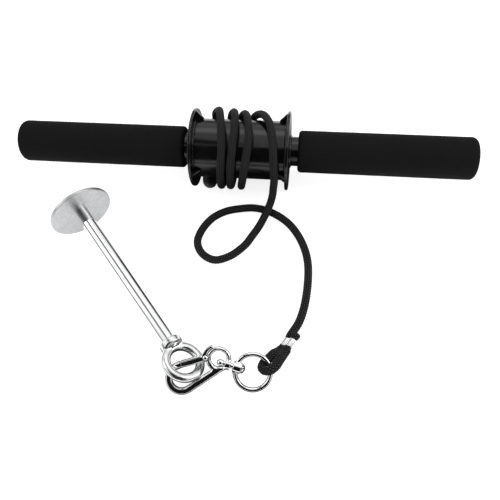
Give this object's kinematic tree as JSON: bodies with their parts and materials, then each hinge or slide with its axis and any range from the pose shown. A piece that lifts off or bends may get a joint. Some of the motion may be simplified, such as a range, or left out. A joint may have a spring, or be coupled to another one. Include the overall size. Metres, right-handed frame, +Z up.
{
  "type": "wrist roller",
  "caption": "Forearm trainer: a bar with foam grips and a flanged drum, a braided rope wound on the drum, and a plate loading pin hung on it by a swivel snap hook.",
  "frame": {"origin": "on the table under the middle of the box round the bar, drum and loading pin", "axes": "+X along the bar to the right grip, +Y from the loading pin towards the bar, +Z up"},
  "size_m": [0.399, 0.2454, 0.068],
  "materials": {
    "black_paint": "gloss",
    "foam": "matte",
    "braided_rope": "matte",
    "chrome": "polished",
    "brushed_steel": "brushed",
    "aluminium": "satin",
    "spring_steel": "satin"
  },
  "bodies": {
    "roller": {"core_tube": "black_paint", "drum_barrel": "black_paint", "flange_left": "black_paint", "flange_right": "black_paint", "gusset_left_1": "black_paint", "gusset_left_2": "black_paint", "gusset_left_3": "black_paint", "gusset_right_1": "black_paint", "gusset_right_2": "black_paint", "gusset_right_3": "black_paint", "rope_anchor": "black_paint", "grip_left": "foam", "grip_right": "foam", "rope_winding": "braided_rope", "rope_free_stretch": "braided_rope", "rope_eye": "braided_rope", "rope_tail": "braided_rope", "ferrule": "aluminium"},
    "ring": {"swivel_ring": "chrome"},
    "hook": {"swivel_stem": "chrome", "hook_body": "chrome", "gate_pin": "chrome", "gate_spring": "spring_steel"},
    "gate": {"hook_gate": "chrome"},
    "loading_pin": {"eye_nut": "chrome", "pin_rod": "chrome", "load_plate": "brushed_steel"}
  },
  "joints": [
    {"name": "ring_swing", "type": "hinge", "parent": "roller", "child": "ring", "pos_m": [0.0388, -0.10006, 0.0105], "axis": [-0.4407, 0.7604, 0.4771], "range_deg": [-30, 60]},
    {"name": "hook_swivel", "type": "hinge", "parent": "ring", "child": "hook", "pos_m": [0.02683, -0.10574, 0.0085], "axis": [-0.97, 0.1551, 0.1873], "continuous": true},
    {"name": "gate_open", "type": "hinge", "parent": "hook", "child": "gate", "pos_m": [-0.00907, -0.09964, 0.01563], "axis": [0.0885, -0.4921, 0.866], "range_deg": [0, 18], "stiffness_Nm_per_rad": 0.05, "springref_deg": -11.46},
    {"name": "pin_swing", "type": "hinge", "parent": "hook", "child": "loading_pin", "pos_m": [-0.02603, -0.10344, 0.01236], "axis": [0.4048, 0.2482, 0.8801], "range_deg": [-90, 90]}
  ]
}
